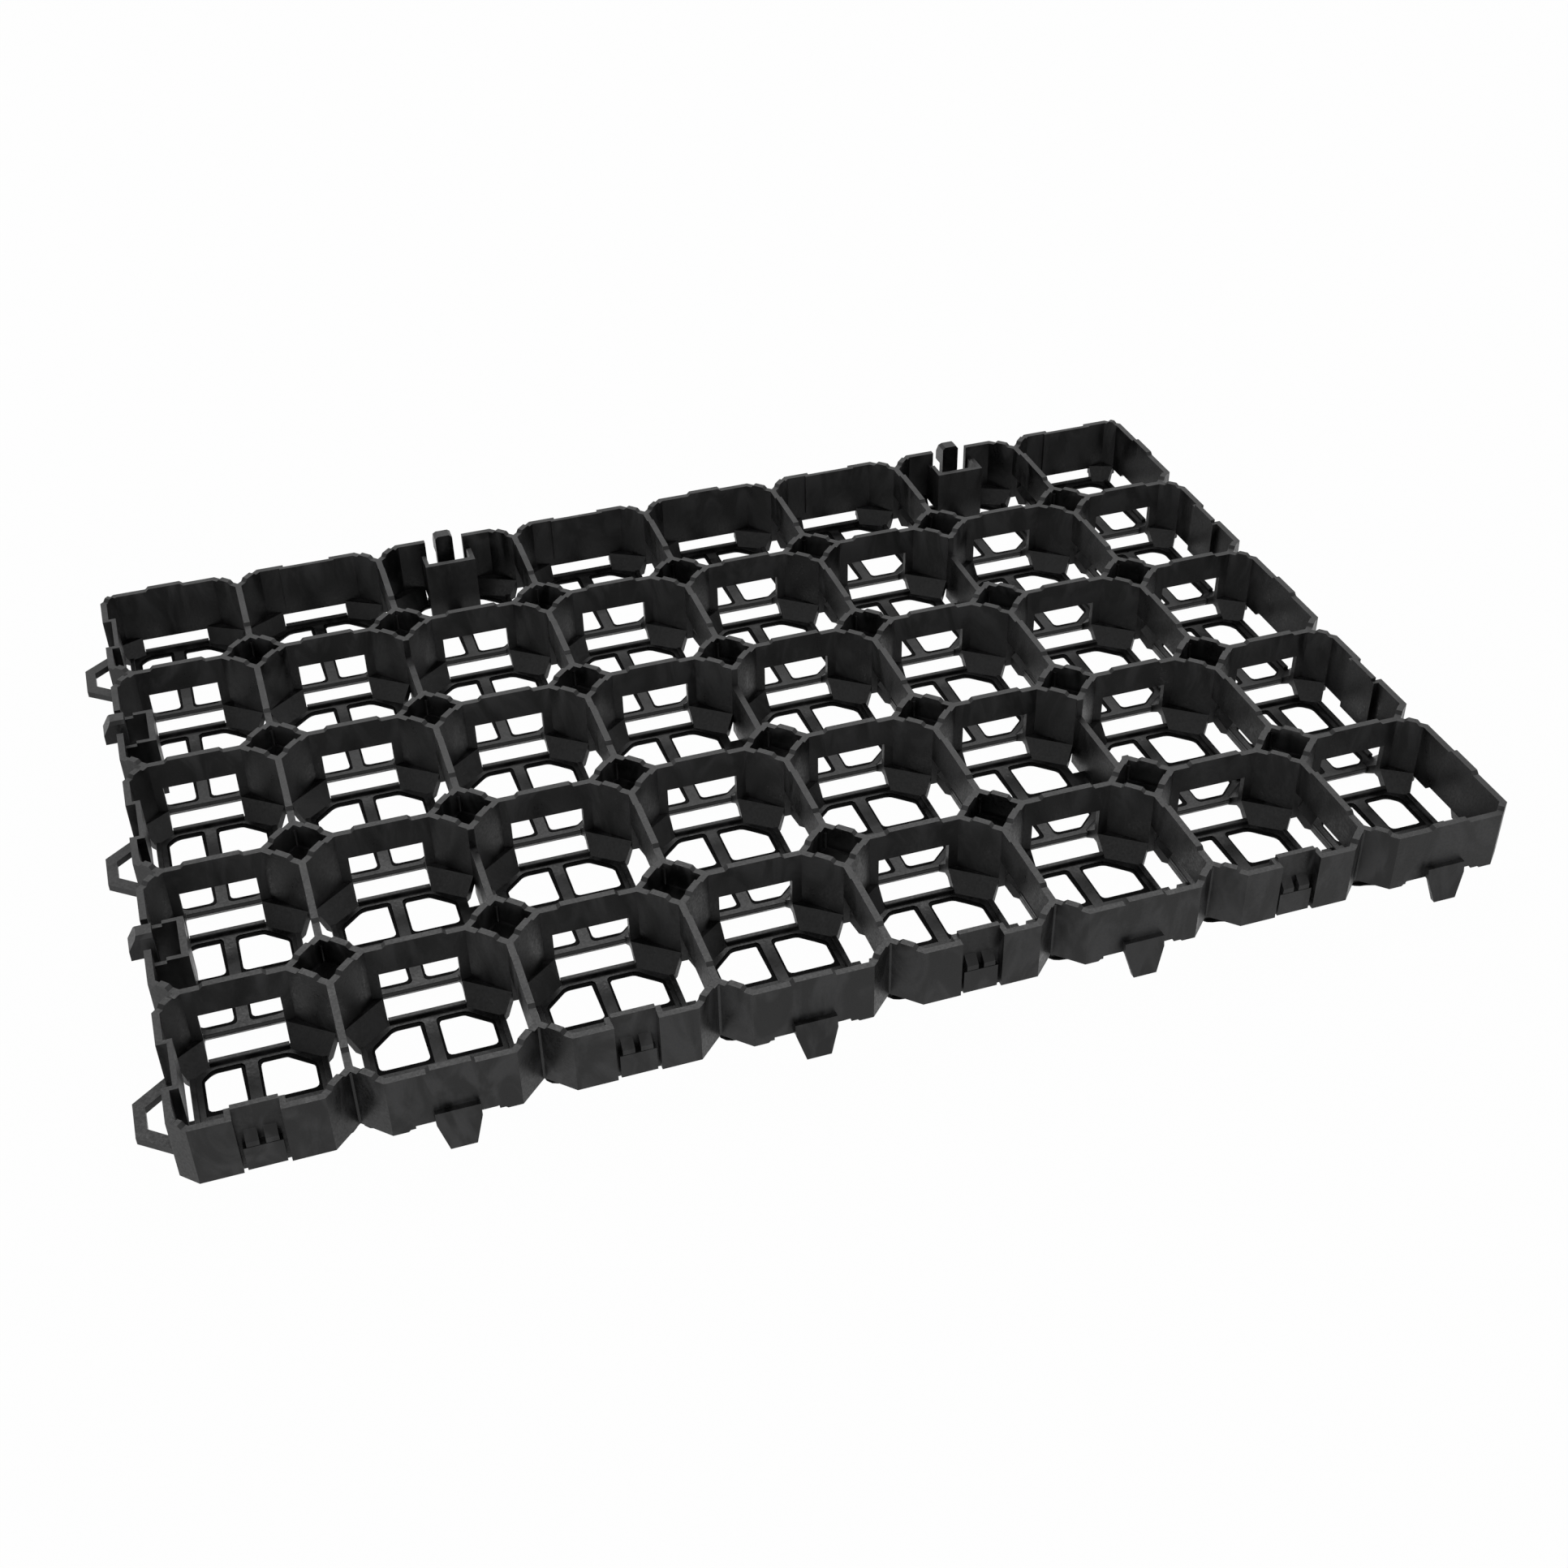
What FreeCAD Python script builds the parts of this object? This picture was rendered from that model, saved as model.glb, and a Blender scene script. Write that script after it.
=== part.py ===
import FreeCAD, Part
import math
import os

V = FreeCAD.Vector

# Grass paver grid: one moulded panel of octagonal cells.  Millimetres, +Z up, the panel lies flat.

# Cell field
COLUMNS = 8
ROWS = 5
PITCH_X = 73.0          # cell to cell along the long side
PITCH_Y = 80.0          # cell to cell along the short side
GAP_X = 4.0             # outer face of an end wall, in from the edge of its cell module
GAP_Y = 2.0             # outer face of a long wall, in from the edge of its cell module
WALL = 3.0
POCKET = 15.0           # half diagonal of the diamond at a junction, to the wall centreline

# Heights above the ground
TOP = 38.0              # raised middles of the wall tops
STEP = 1.4              # wall tops step down this much beside the raised middles
FOOT = 8.5              # underside of rim walls and of the diamond tubes
ARCH_X = 23.3           # underside of a cross wall above the gap between two floors
ARCH_Y = 20.3           # the same for a wall along the short side
LOWERED = 26.8          # top of the five lowered walls

# Raised middles of the wall tops
CREST_X = 25.0
CREST_Y = 31.0
CREST_RIM = 17.5
CREST_RUN = 1.5         # length of the sloped step at each end

# Openings under the inner walls
ARCH_WIDTH_X = 33.0     # a wall along the short side is open over its whole straight length

# Floor of a cell: a ring with a bar along the short side of the panel
FLOOR = 2.6
FLOOR_GAP_X = 13.0      # gap between neighbouring floors along the long side
FLOOR_GAP_Y = 14.0      # the same along the short side
FLOOR_RIM_GAP = 4.5     # gap between a floor and the inside of an end wall
RING_X = 5.0            # floor edge to floor hole
RING_Y = 5.0
HOLE_CORNER = 33.0      # hole corners are cut this far from the junction, measured along both axes
BAR = 7.2               # bar between the two holes
APRON = 25.0            # floor that joins two cells under a lowered wall

# Sloped webs that close the lower corners of a cell
WEB_TOP = 10.0
WEB_DEEP = 5.0
WEB_FOOT = 3.5          # a web lands this far inside the floor's end

# Ledge inside the diamond tubes
LEDGE_TOP = 26.0
LEDGE = 1.2

# Tongues on the front and right edges
TONGUE = 18.0
TONGUE_TIP = 10.6
TONGUE_OUT = 6.0
TONGUE_PLATE = 2.6
SHELF_TOP = 16.8
SHELF = 5.0
NOTCH = 39.0            # shallow notch in the rim underside round a tongue
NOTCH_RISE = 2.4

# Rings on the left and back edges that take the tongues of the next panel
LOOP_ROOT = 41.0
LOOP_TIP = 19.0
LOOP_OUT = 14.0
LOOP_BAR = 4.7
LOOP_LEG = 7.0          # width of a slanting leg, measured along the wall
LOOP_THICK = 3.2
RECESS = 24.0           # wall recess above a ring
RECESS_DEEP = 4.3
RECESS_FOOT = 16.0
RECESS_SKIN = 2.2

# Snap fingers on the left and back edges
FINGER = 9.2
FINGER_GAP = 20.0
FINGER_ROOT = 15.0
FINGER_THICK = 4.4
FINGER_OVER = 1.5       # finger head above the wall tops
FINGER_CUT = 1.5        # cut across the upper corners of the head
NOSE = 6.0
NOSE_FLAT = 2.0
NOSE_FOOT = 28.0
NOSE_TIP = 33.0
BOX_WIDE = 26.5
BOX_DEEP_X = 14.0       # guard box, in from an end wall
BOX_DEEP_Y = 17.0       # guard box, in from a long wall
BOX_SKIN = 2.2
BOX_PLATE = 3.0
BOX_TOP = 31.5
BOX_STEP = 1.6
BOX_STEP_RUN = 5.0

# Catches on the front and right edges
CATCH = 18.0
CATCH_DEEP = 3.0
CATCH_SKIN = 2.4
BUMP = 5.0
BUMP_GAP = 2.4
BUMP_OUT = 2.0
BUMP_FOOT = 21.0
BUMP_TOP = 29.0
PAD = 15.0
PAD_OUT = 1.2
PAD_TOP = 20.0

# Which cells carry what (counted from the front left corner, from 1)
TONGUE_COLUMNS = (2, 4, 6, 8)
TONGUE_ROWS = (1, 3, 5)
CATCH_COLUMNS = (1, 3, 5, 7)
CATCH_ROWS = (2, 4)
LOOP_COLUMNS = (2, 4, 6, 8)
LOOP_ROWS = (1, 3, 5)
SNAP_COLUMNS = (3, 7)
SNAP_ROWS = (2, 4)
LOWERED_WALLS = ((2, 2), (2, 4), (6, 2), (6, 4), (4, 3))    # column on the left of the wall, row

LOW = TOP - STEP
HALF = WALL / 2
DIAGONAL = WALL / math.sqrt(2)      # half a wall, measured along the diagonal of the diamond
HALF_X = PITCH_X / 2
HALF_Y = PITCH_Y / 2
SLANT = HALF_X + HALF_Y - POCKET    # a slanting wall's centreline crosses a cell's axes here
FLOOR_END = HALF_Y - FLOOR_GAP_Y / 2
OVER = 2.0                          # how far a cutter runs past what it cuts


def face_of(points):
    return Part.Face(Part.makePolygon(points + points[:1]))


def prism(points, low, high):
    """A plan outline carried upward."""
    return face_of([V(x, y, low) for x, y in points]).extrude(V(0, 0, high - low))


def profile(points, width):
    """A section, drawn outward and upward from a wall face, carried along the wall."""
    return face_of([V(-width / 2, y, z) for y, z in points]).extrude(V(width, 0, 0))


def front_face(points, near, far):
    """A shape seen square to the wall, carried outward."""
    return face_of([V(x, near, z) for x, z in points]).extrude(V(0, far - near, 0))


def block(x0, x1, y0, y1, low, high):
    return Part.makeBox(x1 - x0, y1 - y0, high - low, V(x0, y0, low))


def turned(solid, x, y, angle):
    """Turn a piece drawn facing +Y about the upright axis, then move it to its place."""
    placed = solid.copy()
    placed.Placement = FreeCAD.Placement(V(x, y, 0), FreeCAD.Rotation(V(0, 0, 1), angle))
    return placed


def octagon(right, back, left, front, slant):
    return [(front - slant, -front), (slant - front, -front), (right, right - slant), (right, slant - right),
            (slant - back, back), (back - slant, back), (-left, slant - left), (-left, left - slant)]


def floor_hole(side, outer):
    """One of the two floor holes: straight along the bar, its outer corners cut with the octagon."""
    end = FLOOR_END - RING_Y
    corner = HALF_X + HALF_Y - HOLE_CORNER
    half = [(outer, corner - outer), (corner - end, end), (BAR / 2, end)]
    points = half + [(x, -y) for x, y in reversed(half)]
    return prism([(side * x, y) for x, y in points], -OVER, FLOOR + OVER)


def floor_plate(webs, right, left):
    """The floor ends where its webs start, and its two holes leave a ring and a bar."""
    corners = []
    for side, end in ((1, 1), (-1, 1), (-1, -1), (1, -1)):
        pair = [(side * x, end * y) for x, y in web_floor(*webs[side, end])]
        corners += pair if side == end else pair[::-1]
    return prism(corners, 0, FLOOR).cut([floor_hole(1, right - RING_X), floor_hole(-1, left - RING_X)])


def slant_wall(reach_x, skin_x, reach_y, skin_y):
    """Middle and length of the slanting wall between two sides of a cell, where it has both faces."""
    root = math.sqrt(2)
    start = max(SLANT + DIAGONAL - 2 * reach_y, SLANT - DIAGONAL - 2 * (reach_y - skin_y)) / root
    stop = min(2 * reach_x - SLANT - DIAGONAL, 2 * (reach_x - skin_x) - SLANT + DIAGONAL) / root
    along = (start + stop) / root
    return (SLANT + along) / 2, (SLANT - along) / 2, stop - start


def web_slope(opening, wall_x, wall_y):
    return (SLANT - DIAGONAL - wall_x - wall_y) / (wall_x - opening)


def web_floor(opening, wall_x, wall_y, floor_x):
    """The floor's two corner points under a web."""
    foot = FLOOR_END - WEB_FOOT
    return [(floor_x, foot + web_slope(opening, wall_x, wall_y) * (floor_x - opening)), (opening, FLOOR_END)]


def sloped(side, end, top, high, foot, low):
    points = [(x, y, high) for x, y in top] + [(x, y, low) for x, y in foot]
    return face_of([V(side * x, end * y, z) for x, y, z in points])


def web(side, end, opening, wall_x, wall_y, floor_x):
    """Sloped web of one lower corner, from the inner faces of its walls down to the floor.

    It starts at the opening under the wall along the long side and ends where the slanting wall does.
    """
    slope = web_slope(opening, wall_x, wall_y)
    near, far = web_floor(opening, wall_x, wall_y, floor_x)
    top = [(opening, wall_y), (wall_x, SLANT - DIAGONAL - wall_x)]
    facet = sloped(side, end, top, WEB_TOP, [near, (opening, FLOOR_END - WEB_FOOT)], FLOOR)
    body = facet.extrude(V(0, 0, -WEB_TOP))
    wide = [(opening - OVER, wall_y - slope * OVER), (wall_x + OVER, top[1][1] + slope * OVER)]
    drop = wall_y - far[1]
    under = sloped(side, end, wide, WEB_TOP - WEB_DEEP, [(x, y - drop) for x, y in reversed(wide)], 0)
    body = body.cut([under.extrude(V(0, 0, -WEB_TOP)), block(-HALF_X, HALF_X, -HALF_Y, HALF_Y, -WEB_TOP, 0)])
    into_x, into_y = wall_x + HALF, wall_y + HALF
    seat = [top[0], (opening, into_y), (SLANT - into_y, into_y), (into_x, SLANT - into_x)]
    if wall_x + HALF > HALF_X - HALF:
        seat.append((into_x, top[1][1]))
    seat.append(top[1])
    return body.fuse(prism([(side * x, end * y) for x, y in seat], WEB_TOP - WEB_DEEP, WEB_TOP))


def tube_ledge(side, end):
    """A cell's quarter of the ledge inside a diamond tube."""
    inner = SLANT + DIAGONAL + LEDGE * math.sqrt(2)
    points = [(HALF_X, SLANT - HALF_X), (HALF_X, inner - HALF_X),
              (inner - HALF_Y, HALF_Y), (SLANT - HALF_Y, HALF_Y)]
    return prism([(side * x, end * y) for x, y in points], FOOT, LEDGE_TOP)


def inner_sides(column, row):
    """The sides that a cell shares: their turn, their distance, and the wall's kind."""
    sides = []
    if row < ROWS:
        sides.append((0, HALF_Y, "cross"))
    if row > 1:
        sides.append((180, HALF_Y, "cross"))
    if column > 1:
        sides.append((90, HALF_X, "lowered" if (column - 1, row) in LOWERED_WALLS else "long"))
    if column < COLUMNS:
        sides.append((-90, HALF_X, "lowered" if (column, row) in LOWERED_WALLS else "long"))
    return sides


def outward(angle, distance):
    return -distance * math.sin(math.radians(angle)), distance * math.cos(math.radians(angle))


def crest(length, near, far):
    """Raised middle of a wall top, its ends sloped."""
    low, high = (length + CREST_RUN) / 2, (length - CREST_RUN) / 2
    return front_face([(-low, LOW), (low, LOW), (high, TOP), (-high, TOP)], near, far)


def inner_wall(kind):
    """What half a shared wall loses and gains, drawn from its centreline."""
    straight = SLANT - DIAGONAL - HALF_X + HALF
    if kind == "cross":
        arch = block(-ARCH_WIDTH_X / 2, ARCH_WIDTH_X / 2, -WALL, OVER, FOOT - OVER, ARCH_X)
        return arch, [crest(CREST_X, -HALF, 0)]
    if kind == "long":
        arch = block(-straight, straight, -WALL, OVER, FOOT - OVER, ARCH_Y)
        return arch, [crest(CREST_Y, -HALF, 0)]
    reach = HALF_Y - POCKET
    dip = block(HALF - reach, reach - HALF, -WALL, OVER, LOWERED, TOP + OVER)
    foot = block(-straight, straight, -HALF, 0, 0, FOOT + HALF)
    apron = block(-APRON / 2, APRON / 2, -FLOOR_GAP_X / 2 - HALF, 0, 0, FLOOR)
    return dip, [foot, apron]


def tongue():
    plate_face = [(-TONGUE / 2, SHELF_TOP), (TONGUE / 2, SHELF_TOP), (TONGUE / 2, SHELF_TOP - SHELF),
                  (TONGUE_TIP / 2, 0), (-TONGUE_TIP / 2, 0), (-TONGUE / 2, SHELF_TOP - SHELF)]
    plate = front_face(plate_face, TONGUE_OUT - TONGUE_PLATE, TONGUE_OUT)
    shelf = block(-TONGUE / 2, TONGUE / 2, -HALF, TONGUE_OUT - TONGUE_PLATE / 2,
                  SHELF_TOP - SHELF, SHELF_TOP)
    return plate.fuse(shelf)


def notch_cutter():
    points = [(-NOTCH / 2 - OVER, FOOT - OVER), (-NOTCH / 2 + NOTCH_RISE, FOOT + NOTCH_RISE),
              (NOTCH / 2 - NOTCH_RISE, FOOT + NOTCH_RISE), (NOTCH / 2 + OVER, FOOT - OVER)]
    return front_face(points, -WALL - OVER, OVER)


def loop():
    leg = LOOP_LEG
    outer = [(-LOOP_ROOT / 2, -HALF), (-LOOP_ROOT / 2, 0), (-LOOP_TIP / 2, LOOP_OUT),
             (LOOP_TIP / 2, LOOP_OUT), (LOOP_ROOT / 2, 0), (LOOP_ROOT / 2, -HALF)]
    inner = [(-LOOP_ROOT / 2 + leg, 0), (LOOP_ROOT / 2 - leg, 0),
             (LOOP_TIP / 2 - leg / 2, LOOP_OUT - LOOP_BAR), (-LOOP_TIP / 2 + leg / 2, LOOP_OUT - LOOP_BAR)]
    return prism(outer, FOOT, FOOT + LOOP_THICK).cut(prism(inner, FOOT - OVER, FOOT + LOOP_THICK + OVER))


def recess_shell():
    half = RECESS / 2 + RECESS_SKIN
    shell = block(-half, half, -RECESS_DEEP - RECESS_SKIN, 0, RECESS_FOOT - WALL, LOW)
    return shell.cut(recess_cutter())


def recess_cutter():
    return block(-RECESS / 2, RECESS / 2, -RECESS_DEEP, OVER, RECESS_FOOT, TOP + OVER)


def catch_cutter():
    return block(-CATCH / 2, CATCH / 2, -CATCH_DEEP, OVER, FOOT - OVER, TOP + OVER)


def catch_shell():
    half = CATCH / 2 + CATCH_SKIN
    shell = block(-half, half, -CATCH_DEEP - CATCH_SKIN, 0, FOOT, LOW)
    back = block(-CATCH / 2, CATCH / 2, -CATCH_DEEP - CATCH_SKIN, -CATCH_DEEP, LOW, TOP)
    face = -CATCH_DEEP
    pad = block(-PAD / 2, PAD / 2, face - HALF, face + PAD_OUT, FOOT, PAD_TOP)
    section = [(face - HALF, BUMP_FOOT), (face + BUMP_OUT, BUMP_FOOT), (face + BUMP_OUT, BUMP_FOOT + WALL),
               (face, BUMP_TOP), (face - HALF, BUMP_TOP)]
    bumps = []
    for side in (-1, 1):
        bump = profile(section, BUMP)
        bump.translate(V(side * (BUMP + BUMP_GAP) / 2, 0, 0))
        bumps.append(bump)
    return shell.cut(catch_cutter()).fuse([back, pad] + bumps)


def finger_gap_cutter():
    return block(-FINGER_GAP / 2, FINGER_GAP / 2, -WALL - OVER, OVER, FINGER_ROOT, TOP + OVER)


def snap(box_deep):
    """A springy finger with an outward nose, and the guard box that stands behind it."""
    head = TOP + FINGER_OVER
    section = [(-FINGER_THICK, FINGER_ROOT - WALL), (0, FINGER_ROOT - WALL), (0, NOSE_FOOT),
               (NOSE, NOSE_FOOT), (NOSE, NOSE_TIP), (NOSE_FLAT, head), (-FINGER_THICK, head)]
    edge, shoulder = FINGER / 2, head - FINGER_CUT
    outline = [(-edge, 0), (edge, 0), (edge, shoulder), (edge - FINGER_CUT, head), (FINGER_CUT - edge, head),
               (-edge, shoulder)]
    finger = profile(section, FINGER).common(front_face(outline, -FINGER_THICK, NOSE))
    inside = -WALL - box_deep
    half = BOX_WIDE / 2
    step_at = -WALL - BOX_STEP_RUN
    box = [block(-half, half, inside, inside + BOX_PLATE, 0, BOX_TOP)]
    for x in (-half, half - BOX_SKIN):
        box.append(block(x, x + BOX_SKIN, inside, step_at, FOOT, BOX_TOP))
        box.append(block(x, x + BOX_SKIN, step_at, -HALF, FOOT, BOX_TOP - BOX_STEP))
    return box[0].fuse(box[1:] + [finger])


def rim_sides(column, row):
    """The outer sides of a rim cell: their turn, their distance, what they lose and what they gain."""
    sides = []
    if row == 1:
        sides.append((180, HALF_Y - GAP_Y)
                     + tongue_or_catch(column in TONGUE_COLUMNS, column in CATCH_COLUMNS))
    if column == COLUMNS:
        sides.append((-90, HALF_X - GAP_X) + tongue_or_catch(row in TONGUE_ROWS, row in CATCH_ROWS))
    if row == ROWS:
        sides.append((0, HALF_Y - GAP_Y)
                     + loop_or_snap(column in LOOP_COLUMNS, column in SNAP_COLUMNS, BOX_DEEP_Y))
    if column == 1:
        sides.append((90, HALF_X - GAP_X) + loop_or_snap(row in LOOP_ROWS, row in SNAP_ROWS, BOX_DEEP_X))
    return sides


def tongue_or_catch(has_tongue, has_catch):
    if has_tongue:
        return [notch_cutter()], [tongue(), crest(CREST_RIM, -WALL, 0)]
    if has_catch:
        return [catch_cutter()], [catch_shell()]
    return [], [crest(CREST_RIM, -WALL, 0)]


def loop_or_snap(has_loop, has_snap, box_deep):
    if has_loop:
        return [recess_cutter()], [loop(), recess_shell()]
    if has_snap:
        return [finger_gap_cutter()], [snap(box_deep)]
    return [], [crest(CREST_RIM, -WALL, 0)]


def cell(column, row):
    """One cell with its half of every shared wall, drawn about its own middle."""
    right, right_skin = (HALF_X, HALF) if column < COLUMNS else (HALF_X - GAP_X, WALL)
    back, back_skin = (HALF_Y, HALF) if row < ROWS else (HALF_Y - GAP_Y, WALL)
    left, left_skin = (HALF_X, HALF) if column > 1 else (HALF_X - GAP_X, WALL)
    front, front_skin = (HALF_Y, HALF) if row > 1 else (HALF_Y - GAP_Y, WALL)
    outside = prism(octagon(right, back, left, front, SLANT + DIAGONAL), FOOT, LOW)
    inside = prism(octagon(right - right_skin, back - back_skin, left - left_skin, front - front_skin,
                           SLANT - DIAGONAL), FOOT - OVER, LOW + OVER)
    floor_right = min(HALF_X - FLOOR_GAP_X / 2, right - right_skin - FLOOR_RIM_GAP)
    floor_left = min(HALF_X - FLOOR_GAP_X / 2, left - left_skin - FLOOR_RIM_GAP)
    webs, cutters, gains = {}, [inside], []

    for side, reach_x, skin_x, floor_x in ((1, right, right_skin, floor_right),
                                           (-1, left, left_skin, floor_left)):
        for end, reach_y, skin_y in ((1, back, back_skin), (-1, front, front_skin)):
            x, y, length = slant_wall(reach_x, skin_x, reach_y, skin_y)
            angle = math.degrees(math.atan2(end, side)) - 90
            gains.append(turned(crest(length / 2, -HALF, HALF), side * x, end * y, angle))
            boxed = end > 0 and row == ROWS and column in SNAP_COLUMNS
            opening = (BOX_WIDE if boxed else ARCH_WIDTH_X) / 2
            webs[side, end] = (opening, reach_x - skin_x, reach_y - skin_y, floor_x)
            gains.append(web(side, end, *webs[side, end]))
            if skin_x == skin_y == HALF:
                gains.append(tube_ledge(side, end))
    gains.append(floor_plate(webs, floor_right, floor_left))

    for angle, distance, kind in inner_sides(column, row):
        x, y = outward(angle, distance)
        cutter, gain = inner_wall(kind)
        cutters.append(turned(cutter, x, y, angle))
        gains += [turned(solid, x, y, angle) for solid in gain]

    for angle, distance, lost, gained in rim_sides(column, row):
        x, y = outward(angle, distance)
        cutters += [turned(solid, x, y, angle) for solid in lost]
        gains += [turned(solid, x, y, angle) for solid in gained]

    return outside.cut(cutters).fuse(gains).removeSplitter()


def panel():
    cells = []
    for column in range(1, COLUMNS + 1):
        for row in range(1, ROWS + 1):
            solid = cell(column, row)
            solid.translate(V((column - 0.5 - COLUMNS / 2) * PITCH_X, (row - 0.5 - ROWS / 2) * PITCH_Y, 0))
            cells.append(solid)
    return cells[0].fuse(cells[1:]).removeSplitter()


grid = panel()

# The origin is the middle of the panel's underside, rings and tongues counted in.
grid.translate(V((LOOP_OUT - TONGUE_OUT) / 2, (TONGUE_OUT - LOOP_OUT) / 2, 0))

os.makedirs("parts", exist_ok=True)
grid.exportStep("parts/paver_grid.step")
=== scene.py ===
"""Looks of a grass paver grid: the moulded panel, its fine relief and a white studio stage."""

import math

import bmesh
import bpy
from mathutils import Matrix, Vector
from mathutils.geometry import convex_hull_2d


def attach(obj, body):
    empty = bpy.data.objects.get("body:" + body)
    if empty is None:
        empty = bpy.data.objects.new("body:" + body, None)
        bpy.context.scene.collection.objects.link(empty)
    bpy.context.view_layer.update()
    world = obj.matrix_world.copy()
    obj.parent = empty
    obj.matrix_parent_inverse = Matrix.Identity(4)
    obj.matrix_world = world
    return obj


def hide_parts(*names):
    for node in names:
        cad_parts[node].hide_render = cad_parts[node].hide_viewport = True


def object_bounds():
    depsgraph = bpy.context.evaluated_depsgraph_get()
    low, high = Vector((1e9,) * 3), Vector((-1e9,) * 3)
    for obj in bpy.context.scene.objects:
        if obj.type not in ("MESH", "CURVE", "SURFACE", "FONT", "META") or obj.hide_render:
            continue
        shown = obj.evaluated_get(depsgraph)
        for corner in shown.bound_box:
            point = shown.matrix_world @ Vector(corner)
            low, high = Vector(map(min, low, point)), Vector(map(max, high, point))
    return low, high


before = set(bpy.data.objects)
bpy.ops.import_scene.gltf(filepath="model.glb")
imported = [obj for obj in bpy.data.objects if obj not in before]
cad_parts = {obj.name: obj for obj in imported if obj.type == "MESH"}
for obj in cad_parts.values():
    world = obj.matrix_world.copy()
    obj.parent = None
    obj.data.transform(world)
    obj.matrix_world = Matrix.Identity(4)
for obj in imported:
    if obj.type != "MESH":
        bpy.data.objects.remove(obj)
CAD_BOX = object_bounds()

bl_info = {
    "name": "Grass paver grid",
    "version": (1, 1, 0),
    "blender": (4, 5, 0),
    "location": "3D View > Sidebar > Paver",
    "description": "Builds the moulded paver panel, its fine relief and its studio stage",
    "category": "Object",
}

NODE = "paver_grid"
BODY = "root"

NEAR = 1e-5                     # metres; points closer than this count as one
FLAT = math.radians(0.6)        # faces that meet at less than this are joined
SQUARE = 0.01                   # how far a normal may be off its direction
PARALLEL = 1e-3                 # sides whose normals turn less than this form one line
GRAIN_STRENGTH = 0.12
GRAIN_DEPTH = 0.0002


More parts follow.
